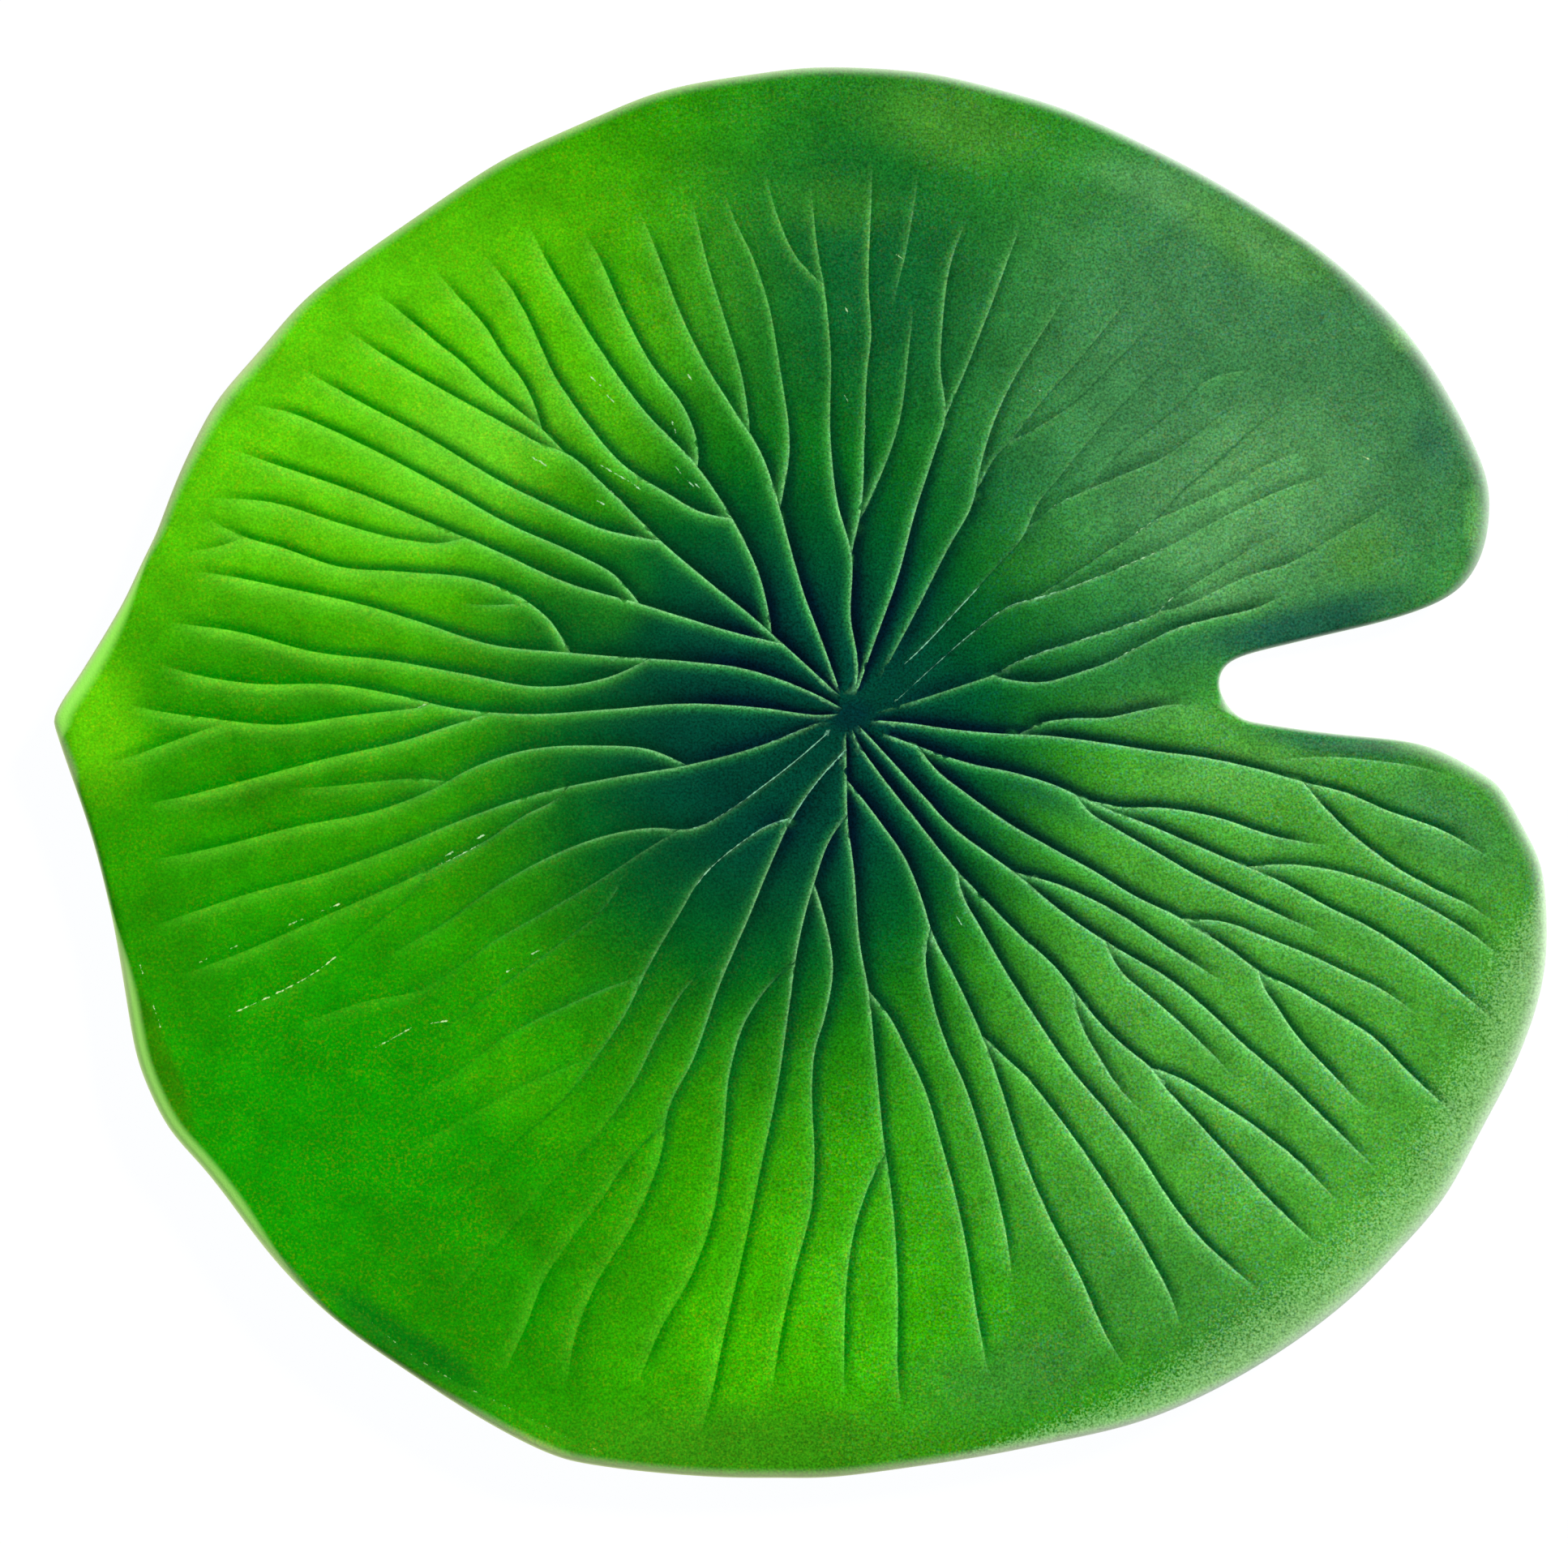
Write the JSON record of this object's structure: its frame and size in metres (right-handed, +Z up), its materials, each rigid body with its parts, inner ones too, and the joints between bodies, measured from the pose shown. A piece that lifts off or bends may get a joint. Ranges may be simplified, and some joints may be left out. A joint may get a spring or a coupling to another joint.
{
  "type": "lotus leaf",
  "caption": "Rounded floating leaf of soft foam with a pointed tip, a deep notch opposite it, a rounded rim and pressed veins that branch out from a hub.",
  "frame": {"origin": "on the resting surface, under the hub where the veins meet", "axes": "+X from the hub out through the notch, with the tip at -X, +Y across the leaf, +Z up from the resting surface"},
  "size_m": [0.28, 0.265, 0.0135],
  "materials": {
    "foam": "matt, fine grained"
  },
  "bodies": {
    "root": {"leaf": "foam"}
  },
  "joints": []
}
